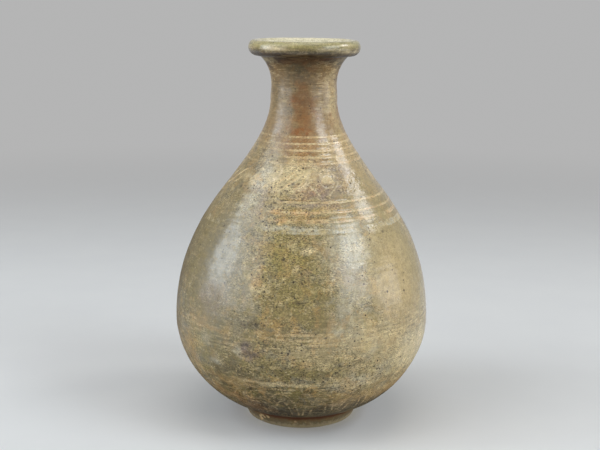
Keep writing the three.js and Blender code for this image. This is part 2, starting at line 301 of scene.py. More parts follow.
# Tones laid at given places: bearing in degrees from the front, place along, half width, half height, strength
TONES = {
    # Broad cream on the right of the belly is partly painted light, lighter where the light falls
    "cream": [
        (155, 207, 24, 9, 0.6), (-140, 212, 18, 7, 0.5), (115, 150, 26, 30, 0.35), (140, 88, 30, 10, 0.4),
        (-9, 211, 20, 11, 0.95), (-19, 217, 7.3, 3.1, 0.6), (-6, 215, 13.7, 6.3, 0.75), (-1, 208, 4.3, 4.6, 0.7),
        (-50, 208, 12.4, 5.1, 0.35), (-25, 204, 5.9, 5.3, 0.6), (-6, 160, 3.3, 3.5, 0.4), (3, 157, 6.1, 2.7, 0.8),
        (45, 143, 13.6, 15.1, 0.2), (-20, 128, 6.4, 3.4, 0.5), (55, 102, 17.1, 10, 0.3), (40, 75, 40, 34, 0.35),
        (62, 110, 40, 60, 0.25), (56, 264, 7, 26, 0.45), (10, 88, 30, 12, 0.35), (-6, 61, 34, 1.6, 0.6),
        (50, 135, 34, 40, 0.4), (34, 92, 34, 16, 0.5), (60, 72, 32, 20, 0.7), (-66, 297, 10, 4, 0.6),
        (62, 297, 10, 4, 0.5), (60, 307, 16, 2.6, 0.6), (-32, 310, 10, 2, 0.5),
    ],
    "even": [
        (58, 135, 36, 44, 1.0), (70, 190, 30, 30, 0.7), (-50, 148, 24, 40, 1.0), (-80, 150, 30, 40, 0.6),
        (35, 90, 30, 20, 0.4), (-40, 105, 36, 34, 0.6), (0, 262, 60, 30, 0.4),
    ],
    "brushed": [
        (50, 92, 54, 12, 1.0), (60, 72, 40, 8, 0.6), (-55, 90, 36, 9, 0.8), (0, 93, 40, 5, 0.5), (0, 60, 60, 5, 0.5),
        (45, 268, 12, 20, 0.4),
    ],
    # Dull glaze, which also darkens the colour as painted shade, most of all on the left side
    "dull": [
        (-105, 110, 70, 120, 1.0), (180, 90, 70, 60, 0.5), (-36, 55, 26, 20, 0.45), (-46, 112, 26, 9, 0.4),
        (29, 112, 12, 8, 0.5), (-60, 262, 8, 30, 0.4),
    ],
    # Dark on the left side and low at the front is painted shade
    "dark": [
        (-4, 291, 13, 11, 0.75), (-4, 272, 8, 14, 0.3), (-2, 299, 23.7, 1.9, 0.6), (-14, 289, 6.6, 4.7, 0.35),
        (-28, 256, 4, 6.4, 0.45), (-16, 206, 4.3, 3, 0.6), (-9, 206, 2.8, 1.5, 0.7), (-10, 41, 11.6, 10.1, 0.6),
        (10, 40, 7.3, 8.6, 0.45), (34, 32, 18.1, 11.6, 0.6), (-38, 62, 22, 24, 0.4), (-58, 270, 6, 16, 0.3),
        (-66, 140, 44, 90, 0.3), (-98, 100, 66, 90, 0.9), (-62, 215, 26, 40, 0.4), (0, 24, 66, 12, 0.5),
    ],
    # Frost under the highlights right of the front is partly a painted highlight
    "frost": [
        (28, 174, 16.6, 2.2, 0.5), (-2, 172, 23.8, 1.6, 0.6), (-18, 171, 8.6, 1.8, 0.5), (20, 123, 3.6, 3.9, 0.4),
        (26, 115, 5.9, 6.1, 0.4), (20, 112, 5.1, 6.1, 0.45), (15, 101, 4.5, 2.9, 0.5), (-44, 86, 6, 4, 0.25),
        (31, 86, 4.9, 5.9, 0.4), (-28, 84, 3.3, 5.1, 0.5), (-40, 73, 6, 3.6, 0.5), (23, 150, 20, 26, 0.45),
        (-36, 208, 9, 14, 0.55), (-40, 188, 7, 12, 0.5), (20, 120, 12, 30, 0.35), (62, 76, 30, 14, 0.45),
        (24, 62, 20, 8, 0.3),
    ],
    "grey": [
        (-160, 140, 30, 30, 0.35), (120, 70, 26, 10, 0.45), (-125, 80, 20, 9, 0.45), (165, 60, 24, 8, 0.4),
        (-61, 89, 7.4, 4.6, 0.6), (53, 87, 10.9, 4.5, 0.5), (31, 84, 7.1, 6.9, 0.5), (-42, 72, 7.5, 4.5, 0.5),
        (-52, 70, 13.2, 4.8, 0.6), (40, 69, 9.6, 6.3, 0.65), (0, 65, 10.5, 3.6, 0.6), (28, 64, 8.5, 5.7, 0.6),
        (-12, 61, 15.6, 2.3, 0.5), (-40, 140, 26, 62, 0.5), (-34, 215, 12, 26, 0.35), (-30, 262, 7, 34, 0.15),
    ],
    "iron": [
        (170, 250, 12, 24, 0.5), (118, 226, 20, 8, 0.4), (-150, 205, 16, 10, 0.35), (95, 262, 8, 20, 0.35),
        (-2, 297, 14.2, 3.7, 0.6), (12, 290, 4.3, 4, 0.5), (-2, 277, 6.2, 5.5, 0.6), (54, 274, 6.4, 7.1, 0.25),
        (6, 201, 9, 5, 0.5), (0, 262, 9, 24, 0.55), (-2, 236, 17, 8, 0.5), (4, 222, 20, 6, 0.25),
        (-10, 267, 5.1, 4.2, 0.9), (5, 255, 6.2, 6.3, 0.55), (52, 253, 6, 6.5, 0.4), (-6, 245, 11.2, 3.7, 0.9),
        (-4, 234, 14, 2.3, 0.5), (-4, 228, 15.5, 2.2, 0.5), (6, 207, 4.3, 7.1, 0.5), (-32, 200, 7.3, 3.8, 0.35),
        (-37, 40, 19, 6.8, 0.35), (-28, 27, 13.1, 8.6, 0.5), (36, 299, 16, 1.6, 0.5),
    ],
    "mauve": [
        (178, 196, 20, 6, 0.5), (-120, 110, 18, 14, 0.35), (14, 198, 18, 5, 0.75), (12, 189, 22, 3, 0.5),
        (20, 206, 12, 15, 0.7), (21, 211, 11, 10, 0.7), (23, 137, 12, 10, 0.5), (-22, 87, 8, 7, 0.8),
        (-43, 117, 14, 12, 0.4), (37, 214, 7.7, 5.3, 0.45), (-37, 205, 6.8, 5.3, 0.5), (-28, 188, 3.2, 6.2, 0.4),
        (25, 34, 10.9, 7.7, 0.5),
    ],
    "ochre": [
        (-165, 95, 36, 6, 0.45), (130, 58, 34, 8, 0.45), (-135, 180, 18, 5, 0.5), (165, 182, 24, 4, 0.5),
        (-4, 194, 9.9, 2.3, 0.35), (-18, 183, 5.6, 2.3, 0.8), (0, 183, 10.4, 2.3, 0.7), (4, 179, 14.8, 2.2, 0.45),
        (-10, 177, 6.2, 1.9, 0.8), (-20, 141, 3.4, 3.4, 0.25), (-21, 134, 5, 7, 0.25), (-50, 99, 13.9, 7.3, 0.3),
        (-40, 96, 16, 2, 0.35), (38, 90, 23.1, 4.1, 0.3), (-59, 76, 13.7, 12.9, 0.5), (-34, 58, 22.8, 4.3, 0.35),
        (56, 42, 57.9, 11.6, 0.45), (48, 128, 22, 34, 0.3), (-82, 70, 40, 26, 0.35),
    ],
    "olive": [
        (-52, 82, 26, 18, 0.45), (-8, 74, 36, 12, 0.2), (-80, 120, 24, 50, 0.4), (150, 120, 34, 40, 0.4),
        (-11, 153, 15.2, 16.6, 0.6), (13, 141, 8.8, 8.3, 0.3), (-1, 130, 16.6, 13.7, 0.45), (14, 70, 10.2, 6.9, 0.4),
    ],
    "white": [
        (46, 313, 9, 2.4, 0.5), (20.5, 211, 4.6, 4.2, 0.8), (-41, 215, 4, 2.6, 0.6), (-50, 208, 3.4, 3, 0.5),
        (49, 213, 3.6, 2, 0.6),
    ],
    "pitted": [
        (-9, 160, 30, 56, 1.0), (-14, 190, 26, 30, 0.7), (-30, 110, 24, 22, 0.5), (8, 222, 14, 12, 0.5),
        (-8, 78, 40, 22, 1.0), (20, 66, 46, 20, 0.9), (172, 150, 40, 56, 0.9), (110, 200, 26, 26, 0.7),
    ],
    "stain": [
        (-54, 199, 1.8, 1.1, 0.8), (-32, 198, 1.6, 1.1, 0.6), (-19, 190, 1.3, 1, 0.9), (-21, 187, 1.1, 1, 0.7),
        (5, 169, 1.1, 0.8, 0.9), (-2, 162, 1, 1.1, 1), (-14, 124, 1.1, 0.8, 0.8), (5, 122, 0.9, 0.8, 0.9),
        (-1, 121, 2.9, 1, 1), (-1, 106, 0.9, 0.8, 0.8), (-21, 104, 8.2, 2.8, 0.6), (-6, 102, 1, 0.9, 0.7),
        (10, 97, 1.1, 0.9, 1), (-23, 89, 6, 2.1, 0.75), (-21, 84, 6, 2.2, 0.6), (-28, 69, 1.3, 1.3, 0.7),
        (-24, 54, 1.6, 1.5, 1), (-15, 206, 2.2, 1.3, 0.6), (-8, 205, 1.4, 1.2, 0.9), (-4, 205, 1.6, 0.9, 0.8),
        (-12, 199, 1.1, 1, 0.7), (0, 194, 1.1, 1, 0.8), (4, 194, 1, 0.8, 0.8), (23, 185, 1.2, 0.8, 0.8),
        (-14, 192, 1.2, 1.1, 0.8), (-10, 208, 1, 0.8, 0.7), (-17, 202, 1, 0.9, 0.7),
    ],
}
PIECE_TONES = [*TONES, "wear"]


# Faint curls of slip under the glaze, with no cut of their own: runs of (bearing in degrees, place along)
CURLS = [
    [(-5, 203), (-1.5, 202), (2, 205), (3.5, 210), (5.5, 216)],
    [(-3.5, 200), (1.5, 201.5), (4.5, 206)],
    [(5.5, 203.5), (9.5, 200), (12, 196)],
    [(13.5, 205.5), (17.5, 202), (23, 202), (26.5, 206.5)],
    [(19.5, 196.5), (24, 200.5), (29, 206)],
    [(20.5 + 6.4 * math.cos(turn), 211 + 5.2 * math.sin(turn)) for turn in np.linspace(0, TURN, 13)],
    [(-26, 206), (-22, 209), (-19, 214), (-21, 219)],
]
CURL_STRENGTH = 0.58


def curl_path(curl):
    """A smooth run through a curl's points, as bearings and places along."""
    degrees, along = np.array(curl, float).T
    share = np.linspace(0, len(curl) - 1, 4 * len(curl))
    steps = np.arange(len(curl))
    return np.radians(np.interp(share, steps, degrees)), np.interp(share, steps, along)


def tone_weights(bearing, along, radius, points):
    """How much of each laid tone lies at each place, with ragged edges."""
    ragged = np.stack([noise(points, 5, 11), noise(points, 5, 13)], -1)
    ragged += 0.6 * np.stack([noise(points, 1.8, 15), noise(points, 1.8, 17)], -1)
    weights = {}
    for tone, patches in TONES.items():
        weight = np.zeros(along.shape)
        for degrees, place, wide, high, strength in patches:
            turn = wrap(bearing - math.radians(degrees))
            dx = (turn * radius + ragged[..., 0] * min(wide, 9) * 0.6) / wide
            dy = (along - place + ragged[..., 1] * min(high, 9) * 0.6) / high
            weight = np.maximum(weight, strength * (1 - smooth(np.hypot(dx, dy), 0.2, 1.5)))
        weights[tone] = weight
    near = (along > 190) & (along < 225) & (np.abs(bearing) < 0.6)
    if near.any():
        for curl in CURLS:
            gap = gap_to_path(bearing[near], along[near], radius[near], curl_path(curl))
            gap = gap + 0.5 * ragged[..., 0][near]
            slip = CURL_STRENGTH * (1 - smooth(gap, 0.3, 1.7))
            weights["white"][near] = np.maximum(weights["white"][near], slip)
    return weights


def relief(bearing, along, points):
    """Height of the skin over the plain outline, in millimetres: throwing ridges, sway and lumps."""
    ring = np.stack([np.cos(bearing) * 0.35, np.sin(bearing) * 0.35, along / 4.2], -1)
    throwing = 0.1 * noise(ring * 3, 1.0, 21) + 0.05 * noise(ring * 8, 1.0, 23)
    throwing = throwing * (0.6 + 0.4 * smooth(along, 235, 260))
    sway = 0.3 * np.cos(2 * bearing + 0.8) + 0.18 * np.cos(3 * bearing - along / 60)
    sway *= smooth(along, 10, 60) * (1 - 0.7 * smooth(along, 200, 260))
    lumps = 0.16 * noise(points, 22, 25) + 0.07 * noise(points, 7, 27) + 0.03 * noise(points, 2.4, 29)
    return throwing + sway + lumps


def plain_place(bearing, along):
    """Points on the plain outline."""
    return around(bearing, *skin(along)[:2])


def raised(bearing, along, lift):
    """Points that far over the thrown relief, or under it for a negative lift."""
    r, z, nr, nz = skin(along)
    lift = lift + relief(bearing, along, around(bearing, r, z))
    return around(bearing, r + nr * lift, z + nz * lift)


def laid(bearing, along):
    """Weights of the laid tones on the wall."""
    return tone_weights(bearing, along, skin(along)[0], plain_place(bearing, along))


def slip_tones(name, bearing, along):
    """Weights of the laid tones on a piece of slip, and its wear."""
    return laid(bearing, along) | {"wear": wear_of(name, bearing, plain_place(bearing, along))}


def grooves(bearing, along, radius):
    """Depth of the cuts round the slip, in millimetres."""
    depth = np.zeros(along.shape)
    for name, (at, width) in LINES.items():
        near = np.abs(along - at) < width / 2 + 2
        if near.any():
            course, half = line_course(name, bearing[near])
            gap = np.abs(along[near] - course) - half
            cut = GROOVE * worn_flat(bearing[near])
            depth[near] = np.maximum(depth[near], cut * (1 - smooth(gap, 0.05, 0.75)))
    for middle, paths in STROKES.values():
        turn = wrap(bearing - middle)
        for path in paths:
            low, high = path[:, 1].min() - 3, path[:, 1].max() + 3
            near = (along > low) & (along < high) & (np.abs(turn * radius) < np.abs(path[:, 0]).max() + 3)
            if near.any():
                gap = gap_to_path(bearing[near], along[near], radius[near], turned(path, middle))
                depth[near] = np.maximum(depth[near], GROOVE * (1 - smooth(gap - STROKE / 2, 0.05, 0.7)))
    for i in range(FLOWERS):
        dx, dy = wrap(bearing - FLOWER_BEARING - TURN * i / FLOWERS) * radius, along - ORNAMENT_AT
        gap = np.hypot(dx, dy) - flower_edge(np.arctan2(dy, dx))
        depth = np.maximum(depth, GROOVE * (1 - smooth(gap, 0.05, 0.7)) * (gap < 2))
    return depth


def flower_edge(turn):
    """The radius of a flower's lobed edge."""
    return FLOWER_RADIUS - FLOWER_NOTCH * (1 - np.cos(LOBES * turn)) / 2


# Meshes
def mesh_object(name, points, faces, attributes=None, sharp=40):
    """An object from points in millimetres and a list of face arrays."""
    mesh = bpy.data.meshes.new(name)
    points = np.asarray(points, float) * MM
    corners = np.concatenate([f.ravel() for f in faces])
    sizes = np.concatenate([np.full(len(f), f.shape[1]) for f in faces])
    mesh.vertices.add(len(points))
    mesh.vertices.foreach_set("co", points.astype(np.float32).ravel())
    mesh.loops.add(len(corners))
    mesh.loops.foreach_set("vertex_index", corners.astype(np.int32))
    mesh.polygons.add(len(sizes))
    mesh.polygons.foreach_set("loop_start", np.r_[0, np.cumsum(sizes)[:-1]].astype(np.int32))
    for label, values in (attributes or {}).items():
        layer = mesh.attributes.new(label, "FLOAT", "POINT")
        layer.data.foreach_set("value", np.asarray(values, np.float32).ravel())
    mesh.update(calc_edges=True)
    mesh.validate()
    mesh.polygons.foreach_set("use_smooth", np.ones(len(mesh.polygons), bool))
    mesh.set_sharp_from_angle(angle=math.radians(sharp))
    piece = bpy.data.objects.new(name, mesh)
    bpy.context.scene.collection.objects.link(piece)
    return piece


def ring_faces(rows, segments, closed):
    """Quads between rows of points that run round the axis; closed joins the last row to the first."""
    row = np.arange(rows if closed else rows - 1)[:, None]
    col = np.arange(segments)[None]
    up, right = (row + 1) % rows, (col + 1) % segments
    quads = [row * segments + col, row * segments + right, up * segments + right, up * segments + col]
    return np.stack([np.broadcast_to(q, (len(row), segments)) for q in quads], -1).reshape(-1, 4)


def fan_faces(pole, row_start, segments, outward):
    """Triangles from a pole to a row of points."""
    col = np.arange(segments)
    tri = np.stack([np.full(segments, pole), row_start + col, row_start + (col + 1) % segments], -1)
    return tri if outward else tri[:, ::-1]


def finish(piece, material, node):
    """Gives a piece its material and body, and hides the CAD node that it stands for."""
    piece.data.materials.append(material)
    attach(piece, "root")
    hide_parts(node)


def skin_rows(from_at, to_at):
    """Displaced rows of the outer skin, with their tone weights."""
    count = max(2, round((to_at - from_at) / STEP))
    along, bearing = np.meshgrid(np.linspace(from_at, to_at, count + 1), BEARINGS, indexing="ij")
    return raised(bearing, along, -grooves(bearing, along, skin(along)[0])), laid(bearing, along)


def plain_rows(pairs, wander=0.0):
    """Rows round the axis through (radius, height) pairs."""
    rows = []
    for r, z in pairs:
        row = around(BEARINGS, np.full(SEGMENTS, float(r)), float(z))
        if wander:
            lift = wander * noise(row, 9, 31)
            row = around(BEARINGS, r + lift, z + 0 * lift)
        rows.append(row)
    return np.array(rows)


def inner_pairs(from_at, to_at, step=5.0):
    """(Radius, height) pairs of the wall's inner side."""
    places = np.linspace(from_at, to_at, max(2, round(abs(to_at - from_at) / step)) + 1)
    return [tuple(float(v) for v in skin(s, wall_at(s))[:2]) for s in places]


def shell(name, blocks, poles=None, attributes=None):
    """A closed shell of revolution from blocks of rows.

    Poles are the heights on the axis of its two ends, or none if its last row joins its first. Attributes hold tone
    weights by the row that they start at.
    """
    rows = np.concatenate(blocks)
    points = rows.reshape(-1, 3)
    faces = [ring_faces(len(rows), SEGMENTS, poles is None)]
    if poles:
        faces.append(fan_faces(len(points), 0, SEGMENTS, False))
        faces.append(fan_faces(len(points) + 1, (len(rows) - 1) * SEGMENTS, SEGMENTS, True))
        points = np.vstack([points, [(0, 0, pole) for pole in poles]])
    filled = {}
    for tone in PIECE_TONES:
        values = np.zeros(len(points))
        for start, weights in (attributes or {}).items():
            flat = weights.get(tone, np.zeros(1)).ravel()
            values[start * SEGMENTS : start * SEGMENTS + len(flat)] = flat
        filled[tone] = values
    return mesh_object(name, points, faces, filled)


def lower_body():
    """The bowl, from the recess under its floor over the outside to the inside and the floor."""
    shares = (0.15, 0.5, 0.8, 0.955)
    recess = plain_rows([(FOOT_INNER * k, FOOT_HEIGHT + RECESS_DOME * (1 - k)) for k in shares], 0.1)
    outside, weights = skin_rows(0, BELLY_JOINT_AT)
    inside = plain_rows(inner_pairs(BELLY_JOINT_AT, 0), 0.25)
    floor_z = FOOT_HEIGHT + FLOOR_THICKNESS
    floor = plain_rows([(r, floor_z) for r in (36, 20, 5)], 0.2)
    poles = (FOOT_HEIGHT + RECESS_DOME, floor_z)
    return shell("bowl_skin", [recess, outside, inside, floor], poles, {len(recess): weights})


def upper_body():
    outside, weights = skin_rows(BELLY_JOINT_AT, NECK_JOINT_AT)
    inside = plain_rows(inner_pairs(NECK_JOINT_AT, BELLY_JOINT_AT))
    return shell("shoulder_skin", [outside, inside], attributes={0: weights})


LIP_STEPS = 44
LIP_ALONG = 6


def lip_rows():
    """The rolled lip, from its underside over the top to its inner end."""
    turn, bearing = np.meshgrid(np.linspace(-UPRIGHT, LIP_ROLL_END, LIP_STEPS), BEARINGS, indexing="ij")
    mid_r, mid_z = LIP - LIP_ROLL / 2, LIP_TOP - LIP_HEIGHT / 2
    nr, nz = np.cos(turn) / (LIP_ROLL / 2), np.sin(turn) / (LIP_HEIGHT / 2)
    length = np.hypot(nr, nz)
    r, z = mid_r + LIP_ROLL / 2 * np.cos(turn), mid_z + LIP_HEIGHT / 2 * np.sin(turn)
    r = r - LIP_UNDERCUT * np.where(turn < 0, np.sin(turn) ** 2, 0)
    plain = around(bearing, r, z)
    lift = 0.16 * noise(plain, 14, 33) + 0.06 * noise(plain, 4, 35) - 0.12
    along = FLARE_AT + LIP_ALONG * (turn + UPRIGHT)
    points = around(bearing, r + lift * nr / length, z + lift * nz / length)
    return points, tone_weights(bearing, along, r, plain)


def neck_and_lip():
    outside, weights = skin_rows(NECK_JOINT_AT, FLARE_AT)
    roll, roll_weights = lip_rows()
    inside = plain_rows(inner_pairs(FLARE_AT, NECK_JOINT_AT, 2.5))
    return shell("neck_skin", [outside, roll, inside], attributes={0: weights, len(outside): roll_weights})


def foot_ring():
    """The trimmed foot, chipped along its rim."""
    inner_top = FOOT_INNER - 1.5
    section = [(FOOT_INNER, 0), (FOOT_INNER + 2.7, 0), (FOOT_RIM - 1.0, 0), (FOOT_RIM - 0.35, 0.25), (FOOT_RIM, 1.0)]
    side = [
        (FOOT_RIM + (FOOT_SEAT - FOOT_RIM) * t, 1 + (FOOT_HEIGHT - 1) * t) for t in np.linspace(0, 1, 14)[1:]
    ]
    inner = [(inner_top + (FOOT_INNER - inner_top) * (1 - t), FOOT_HEIGHT * t) for t in np.linspace(1, 0.02, 6)]
    rows = plain_rows(section + side + inner)
    radius = np.hypot(rows[..., 0], rows[..., 1])
    bearing = np.arctan2(rows[..., 0], -rows[..., 1])
    outer = (radius > FOOT_RIM - 1.2) & (rows[..., 2] < FOOT_HEIGHT - 0.3)
    torn = 0.6 * (1 - smooth(np.abs(bearing + math.radians(52)), 0.15, 0.5))
    chip = smooth(noise(rows, 5, 41) + 0.6 * noise(rows, 2, 43) + torn, 0.85, 1.15) * outer
    lift = 0.22 * noise(rows, 9, 45) * outer - 0.7 * chip * (1 - smooth(rows[..., 2], 1, 8))
    rows = around(bearing, radius + lift, rows[..., 2])
    return shell("foot", [rows], attributes={0: {"ochre": chip}})


def line_piece(name):
    """A line of slip lying in its cut, crowned a little and uneven at its edges."""
    course, half = line_course(name, BEARINGS)
    rows, weights = [], []
    for share, buried in ((-1, 0), (-0.6, 0), (0, 0), (0.6, 0), (1, 0), (0.75, 1), (-0.75, 1)):
        along = course + share * half
        if buried:
            lift = -LINE_DEPTH
            weights.append({tone: np.zeros(SEGMENTS) for tone in PIECE_TONES})
        else:
            lift = worn_flat(BEARINGS) * (CROWN * (1 - share**2) - SUNK)
            lift = lift + 0.04 * noise(plain_place(BEARINGS, along), 1.6, 51)
            weights.append(slip_tones(name, BEARINGS, along))
        rows.append(raised(BEARINGS, along, lift))
    merged = {tone: np.array([w[tone] for w in weights]) for tone in PIECE_TONES}
    return shell(name.replace("_line_", "_slip_") + "_inlay", [np.array(rows)], attributes={0: merged})


def stroke_piece(name):
    """Strips of slip along a piece's paths on the skin, narrowed at their ends."""
    middle, paths = STROKES[name]
    points, faces, tones = [], [], {tone: [] for tone in PIECE_TONES}
    count = 0
    for path in paths:
        bearing, along = turned(path, middle)
        radius = skin(along)[0]
        dx, dy = np.gradient(bearing) * radius, np.gradient(along)
        length = np.hypot(dx, dy)
        reach = np.r_[0, np.cumsum(length[1:])]
        ends = np.minimum(reach, reach[-1] - reach)
        half = STROKE / 2 * (0.35 + 0.65 * smooth(ends, 0, 1.6))
        here = around(bearing, radius, along)
        half = half * (1 + 0.18 * noise(here, 3, 61) + 0.12 * noise(here, 0.9, 63))
        sideways = np.stack([-dy, dx], -1) / length[:, None]
        loops = []
        for share, buried in ((-1, 0), (-0.5, 0), (0, 0), (0.5, 0), (1, 0), (0.7, 1), (-0.7, 1)):
            place = along + share * half * sideways[:, 1]
            turn = bearing + share * half * sideways[:, 0] / radius
            if buried:
                lift = -STROKE_DEPTH
                weights = {tone: 0 * place for tone in tones}
            else:
                lift = CROWN * (1 - share**2) - SUNK + 0.03 * noise(plain_place(turn, place), 1.2, 65)
                weights = slip_tones(name, turn, place)
            loops.append(raised(turn, place, lift))
            for tone in tones:
                tones[tone].append(weights[tone])
        grid = np.array(loops)
        index = count + np.arange(grid[..., 0].size).reshape(grid.shape[:2])
        after = np.roll(index, -1, axis=0)
        sides = np.stack([index[:, :-1], after[:, :-1], after[:, 1:], index[:, 1:]], -1)
        faces += [sides.reshape(-1, 4)[:, ::-1], np.array([index[:, 0], index[::-1, -1]])]
        points.append(grid.reshape(-1, 3))
        count += index.size
    merged = {tone: np.concatenate(values) for tone, values in tones.items()}
    return mesh_object(name + "_inlay", np.vstack(points), faces, merged)


FLOWER_CORNERS = 96
FLOWER_RINGS = (0.12, 0.25, 0.4, 0.55, 0.7, 0.85, 0.95, 1.0)
FLOWER_UNDERSIDE = 0.93


def flower_piece(i):
    """A lobed flower of slip with a dimpled heart."""
    middle = FLOWER_BEARING + TURN * i / FLOWERS
    turns = np.arange(FLOWER_CORNERS) * 2 * math.pi / FLOWER_CORNERS
    rows, weights = [], []
    for share in (*FLOWER_RINGS, None):
        edge = flower_edge(turns) * (share if share is not None else FLOWER_UNDERSIDE)
        bearing = middle + edge * np.cos(turns) / skin(ORNAMENT_AT)[0]
        along = ORNAMENT_AT + edge * np.sin(turns)
        if share is None:
            lift = -FLOWER_DEPTH
        else:
            veins = 0.04 * np.cos(LOBES * turns) * smooth(share, 0.25, 0.8)
            heart = -0.05 * (smooth(share, 0.2, 0.28) - smooth(share, 0.36, 0.48))
            lift = veins + heart - FLOWER_SUNK + 0.02 * noise(plain_place(bearing, along), 1.2, 67)
        rows.append(raised(bearing, along, lift))
        weights.append(slip_tones("flower", bearing, along))
    centre = np.array([middle]), np.array([ORNAMENT_AT])
    points = np.vstack([*rows, raised(*centre, -FLOWER_SUNK), raised(*centre, -FLOWER_DEPTH)])
    size = len(rows) * FLOWER_CORNERS
    faces = [
        ring_faces(len(rows), FLOWER_CORNERS, False)[:, ::-1],
        fan_faces(size, 0, FLOWER_CORNERS, True),
        fan_faces(size + 1, size - FLOWER_CORNERS, FLOWER_CORNERS, False),
    ]
    tones = {tone: np.r_[np.concatenate([w[tone] for w in weights]), 0, 0] for tone in PIECE_TONES}
    return mesh_object(f"flower_{i + 1}_inlay", points, faces, tones, sharp=60)


# Materials
def srgb(red, green, blue):
    """A linear colour from 0 to 255 values."""
    def linear(v):
        v /= 255
        return v / 12.92 if v <= 0.04045 else ((v + 0.055) / 1.055) ** 2.4
    return (linear(red), linear(green), linear(blue), 1.0)


class Surface:
    """A node material, built by small steps."""

    def __init__(self, name):
        self.material = bpy.data.materials.new(name)
        self.material.use_nodes = True
        self.tree = self.material.node_tree
        self.tree.nodes.clear()
        self.output = self.new("OutputMaterial")
        self.shader = self.new("BsdfPrincipled")
        self.link(self.shader.outputs[0], self.output.inputs["Surface"])
        place = self.new("TexCoord").outputs["Object"]
        self.place = self.vector("SCALE", place, scale=1 / MM)
        parts = self.new("SeparateXYZ")
        self.link(self.place, parts.inputs[0])
        self.x, self.y, self.z = parts.outputs

    def new(self, kind):
        return self.tree.nodes.new("ShaderNode" + kind)

    def link(self, source, target):
        self.tree.links.new(source, target)

    def put(self, value, target):
        """Links a socket, or sets a plain value."""
        if isinstance(value, bpy.types.NodeSocket):
            self.link(value, target)
        else:
            target.default_value = value

    def vector(self, operation, a, b=None, scale=None):
        node = self.new("VectorMath")
        node.operation = operation
        self.put(a, node.inputs[0])
        if b is not None:
            self.put(b, node.inputs[1])
        if scale is not None:
            self.put(scale, node.inputs["Scale"])
        return node.outputs["Vector"]

    def math(self, operation, a, b=0.0, clamp=False):
        node = self.new("Math")
        node.operation = operation
        node.use_clamp = clamp
        self.put(a, node.inputs[0])
        self.put(b, node.inputs[1])
        return node.outputs[0]

    def times(self, a, b):
        return self.math("MULTIPLY", a, b)

    def plus(self, a, b):
        return self.math("ADD", a, b)

    def rest(self, a):
        return self.math("SUBTRACT", 1.0, a)

    def remap(self, value, low, high, to_low=0.0, to_high=1.0):
        """A soft step from one value to the other."""
        node = self.new("MapRange")
        node.interpolation_type = "SMOOTHSTEP"
        for k, v in enumerate((value, low, high, to_low, to_high)):
            self.put(v, node.inputs[k])
        return node.outputs[0]

    def noise(self, size, detail=3.0, rough=0.5, vector=None, warp=0.0):
        node = self.new("TexNoise")
        self.link(vector or self.place, node.inputs["Vector"])
        node.inputs["Scale"].default_value = 1 / size
        node.inputs["Detail"].default_value = detail
        node.inputs["Roughness"].default_value = rough
        node.inputs["Distortion"].default_value = warp
        return node.outputs["Fac"]

    def cells(self, size, feature="F1", vector=None, output="Distance"):
        node = self.new("TexVoronoi")
        node.feature = feature
        self.link(vector or self.place, node.inputs["Vector"])
        node.inputs["Scale"].default_value = 1 / size
        return node.outputs[output]

    def mix(self, share, a, b, blend="MIX"):
        node = self.new("Mix")
        node.data_type = "RGBA"
        node.blend_type = blend
        self.put(share, node.inputs[0])
        self.put(a, node.inputs[6])
        self.put(b, node.inputs[7])
        return node.outputs[2]

    def weight(self, tone):
        """How much of a laid tone is here."""
        node = self.new("Attribute")
        node.attribute_name = tone
        return node.outputs["Fac"]

    def ramp(self, value, stops):
        node = self.new("ValToRGB")
        self.link(value, node.inputs[0])
        elements = node.color_ramp.elements
        while len(elements) < len(stops):
            elements.new(0.5)
        for element, (place, colour) in zip(elements, stops):
            element.position = place
            element.color = colour
        return node.outputs[0]

    def grey(self, value):
        node = self.new("CombineColor")
        for k in range(3):
            self.put(value, node.inputs[k])
        return node.outputs[0]

    def shift(self, offset):
        return self.vector("ADD", self.place, offset)


CREAM = srgb(210, 190, 144)
OCHRE = srgb(184, 145, 88)
IRON = srgb(144, 92, 48)
DARK = srgb(82, 72, 52)
GREY = srgb(118, 116, 102)
MAUVE = srgb(142, 124, 108)
OLIVE = srgb(140, 127, 72)
FROST_AND_SHEEN = srgb(188, 182, 160)
WHITE = srgb(214, 194, 156)
STAIN = srgb(50, 38, 28)
LAID = [
    ("olive", OLIVE), ("grey", GREY), ("mauve", MAUVE), ("ochre", OCHRE), ("iron", IRON), ("dark", DARK),
    ("frost", FROST_AND_SHEEN), ("cream", CREAM), ("white", WHITE),
]
# The glaze's colour up the bottle, by height in millimetres: the dark at the crease over the foot and under the lip
# is painted shade, the darker low body is partly painted shade, and the paler lip top is painted light
HEIGHT_TONES = [
    (0, (110, 100, 74)), (7, (90, 80, 55)), (12, (36, 26, 14)), (24, (36, 29, 16)), (45, (86, 76, 46)),
    (75, (130, 115, 75)), (120, (138, 122, 78)), (155, (147, 130, 85)), (185, (172, 151, 107)),
    (207, (178, 151, 104)), (216, (154, 124, 82)), (240, (140, 116, 78)), (259, (112, 86, 50)),
    (264.5, (60, 41, 18)), (268, (18, 10, 3)), (272, (50, 37, 18)), (274, (98, 84, 50)), (276.5, (156, 144, 92)),
    (280, (182, 174, 128)),
]
TOP = 280.0
# Broad cloudy changes of the firing: size, roughness, offset, distortion, start and end of the step, strength, colour
CLOUDS = [
    (26, 0.7, (11, 3, 40), 1.2, 0.48, 0.56, 0.4, OLIVE),
    (13, 0.7, (70, 9, 5), 0.8, 0.52, 0.59, 0.45, OCHRE),
    (14, 0.7, (5, 90, 31), 1.0, 0.53, 0.6, 0.4, GREY),
    (7, 0.74, (31, 60, 15), 0.6, 0.54, 0.62, 0.5, CREAM),
]


